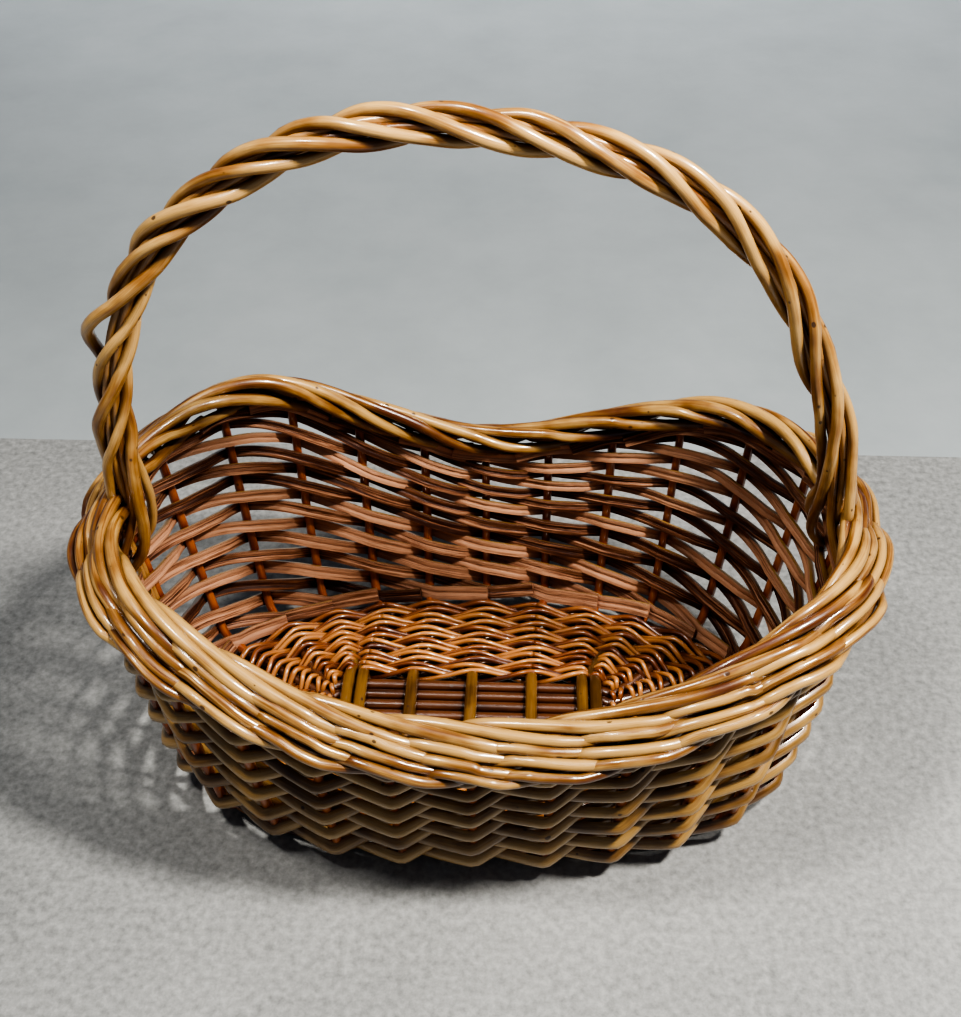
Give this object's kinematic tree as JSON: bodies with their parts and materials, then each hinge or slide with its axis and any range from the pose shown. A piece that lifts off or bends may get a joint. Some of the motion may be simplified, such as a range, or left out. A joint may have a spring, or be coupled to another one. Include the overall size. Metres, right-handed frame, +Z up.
{
  "type": "woven market basket",
  "caption": "Oval woven willow market basket with flared openwork sides, a rolled rope border and a fixed arched handle wound like a rope.",
  "frame": {"origin": "on the ground under the middle of the basket", "axes": "+X along the basket's length, in the plane of the handle; +Y across it; +Z up"},
  "size_m": [0.3894, 0.2498, 0.3682],
  "materials": {
    "base_sticks": "satin varnished round willow",
    "base_weave": "satin varnished thin willow",
    "stakes": "satin varnished round willow",
    "split_weavers": "split willow, satin skin outside and rough split face inside",
    "border": "satin varnished round willow",
    "handle": "satin varnished round willow"
  },
  "bodies": {
    "root": {"base_cross_stick_1": "base_sticks", "base_cross_stick_2": "base_sticks", "base_cross_stick_3": "base_sticks", "base_cross_stick_4": "base_sticks", "base_cross_stick_5": "base_sticks", "base_cross_stick_6": "base_sticks", "base_cross_stick_7": "base_sticks", "base_long_stick_1": "base_sticks", "base_long_stick_2": "base_sticks", "base_long_stick_3": "base_sticks", "base_long_stick_4": "base_sticks", "base_long_stick_5": "base_sticks", "base_long_stick_6": "base_sticks", "base_weave_1": "base_weave", "base_weave_2": "base_weave", "base_weave_3": "base_weave", "base_weave_4": "base_weave", "base_weave_5": "base_weave", "base_weave_6": "base_weave", "base_weave_7": "base_weave", "base_weave_8": "base_weave", "border_inner": "border", "border_lower": "border", "border_outer": "border", "border_top": "border", "foot_round_inner": "base_weave", "foot_round_outer": "base_weave", "handle_core_rod_1": "handle", "handle_core_rod_2": "handle", "handle_core_rod_3": "handle", "handle_wrap_1": "handle", "handle_wrap_2": "handle", "handle_wrap_3": "handle", "handle_wrap_4": "handle", "side_stakes": "stakes", "side_weave_01": "split_weavers", "side_weave_02": "split_weavers", "side_weave_03": "split_weavers", "side_weave_04": "split_weavers", "side_weave_05": "split_weavers", "side_weave_06": "split_weavers", "side_weave_07": "split_weavers", "side_weave_08": "split_weavers", "side_weave_09": "split_weavers", "side_weave_10": "split_weavers", "side_weave_11": "split_weavers", "side_weave_12": "split_weavers", "side_weave_13": "split_weavers", "side_weave_14": "split_weavers"}
  },
  "joints": []
}
